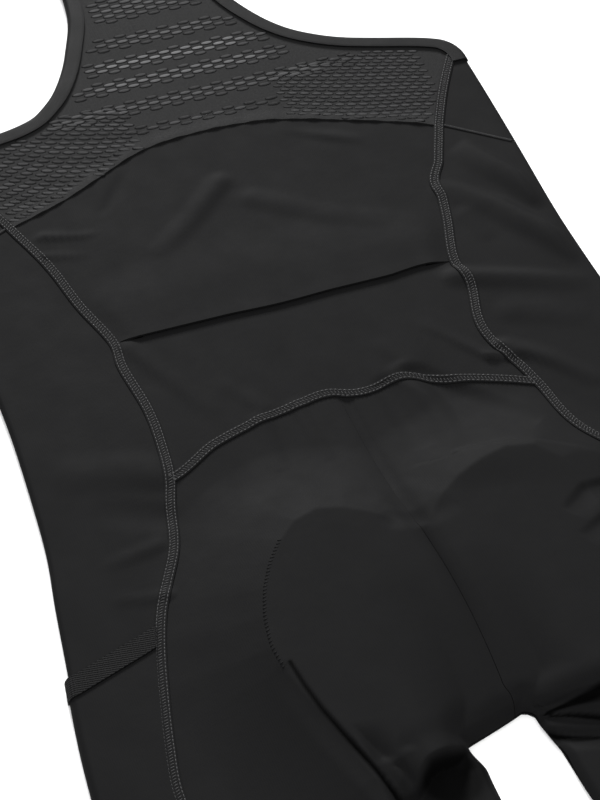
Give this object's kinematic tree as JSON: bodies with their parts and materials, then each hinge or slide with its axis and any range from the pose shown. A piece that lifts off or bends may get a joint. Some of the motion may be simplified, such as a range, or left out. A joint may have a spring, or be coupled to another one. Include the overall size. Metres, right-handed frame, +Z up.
{
  "type": "cycling bib shorts laid flat",
  "caption": "Bib shorts laid flat with the back up: net racerback yoke, rear pocket, seat pad relief, thigh pockets and elastic leg bands",
  "frame": {"origin": "middle of the plan outline, on the surface that the garment lies on", "axes": "+Y runs from the leg hems to the shoulders, the longest way; +Z points up out of the back of the garment, the thinnest way"},
  "size_m": [0.3928, 0.94, 0.0179],
  "materials": {
    "jersey": "matt black stretch jersey with a faint sheen",
    "net": "charcoal banded stretch net",
    "binding": "smooth black elastic binding",
    "elastic": "textured black elastic band",
    "padding": "moulded foam pad with a brushed cover"
  },
  "bodies": {
    "root": {"yoke_mesh": "net", "back_panel": "jersey", "pocket_panel": "jersey", "neck_binding": "binding", "seat_pad": "padding", "seat_left": "jersey", "seat_right": "jersey", "side_panel_left": "jersey", "side_panel_right": "jersey", "gusset_left": "jersey", "gusset_right": "jersey", "thigh_pocket_left": "jersey", "thigh_pocket_right": "jersey", "pocket_band_left": "elastic", "pocket_band_right": "elastic", "armhole_binding_left": "binding", "armhole_binding_right": "binding", "leg_band_left": "elastic", "leg_band_right": "elastic", "front_left": "jersey", "front_right": "jersey", "front_strap_left": "net", "front_strap_right": "net"}
  },
  "joints": []
}
